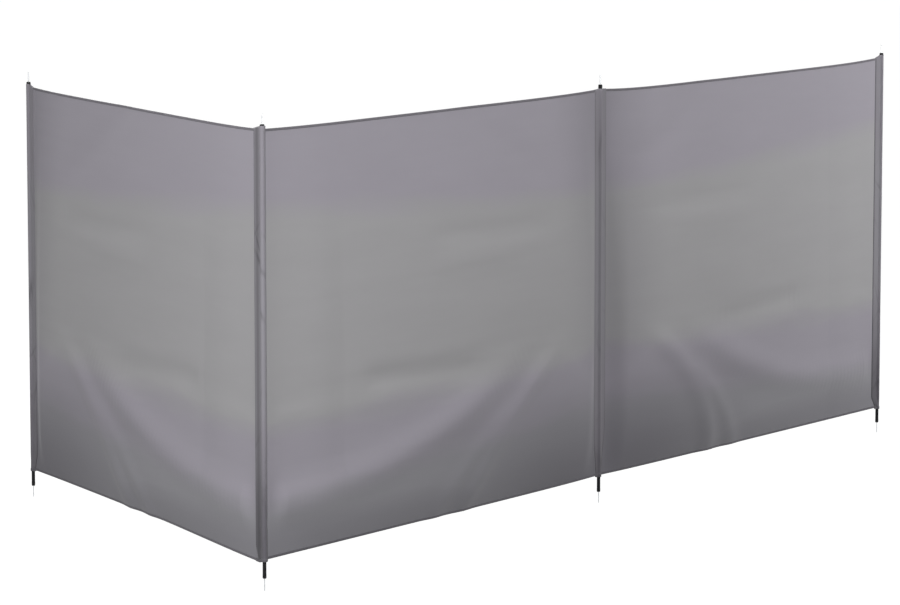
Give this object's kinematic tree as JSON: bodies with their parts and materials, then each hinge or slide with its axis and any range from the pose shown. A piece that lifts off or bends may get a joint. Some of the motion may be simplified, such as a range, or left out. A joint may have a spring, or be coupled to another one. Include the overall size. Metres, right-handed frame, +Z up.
{
  "type": "beach windbreak",
  "caption": "Beach windbreak: bays of grey woven cloth with hems, sewn pockets over upright black poles, steel pins at the top and foot of each pole, pitched as an L",
  "frame": {"origin": "centre of the corner pole's foot, on the ground", "axes": "+Z up, +X along the long side from the corner pole to the last pole, the short side on +Y"},
  "size_m": [4.0177, 1.8188, 1.553],
  "materials": {
    "pole_paint": "satin black paint",
    "cap_plastic": "matt black moulded plastic",
    "pin_steel": "bright zinc-plated steel",
    "bay_cloth": "plain woven polyester, matt",
    "pocket_cloth": "plain woven polyester, doubled and stitched",
    "hem_cloth": "plain woven polyester, folded over and stitched"
  },
  "bodies": {
    "root": {"pole_1": "pole_paint", "pole_2": "pole_paint", "pole_3": "pole_paint", "pole_4": "pole_paint", "top_cap_1": "cap_plastic", "top_cap_2": "cap_plastic", "top_cap_3": "cap_plastic", "top_cap_4": "cap_plastic", "foot_1": "cap_plastic", "foot_2": "cap_plastic", "foot_3": "cap_plastic", "foot_4": "cap_plastic", "top_pin_1": "pin_steel", "top_pin_2": "pin_steel", "top_pin_3": "pin_steel", "top_pin_4": "pin_steel", "ground_pin_1": "pin_steel", "ground_pin_2": "pin_steel", "ground_pin_3": "pin_steel", "ground_pin_4": "pin_steel", "pocket_1": "pocket_cloth", "pocket_2": "pocket_cloth", "pocket_3": "pocket_cloth", "pocket_4": "pocket_cloth", "cloth_bay_1": "bay_cloth", "cloth_bay_2": "bay_cloth", "cloth_bay_3": "bay_cloth", "top_hem_1": "hem_cloth", "top_hem_2": "hem_cloth", "top_hem_3": "hem_cloth", "bottom_hem_1": "hem_cloth", "bottom_hem_2": "hem_cloth", "bottom_hem_3": "hem_cloth"}
  },
  "joints": []
}
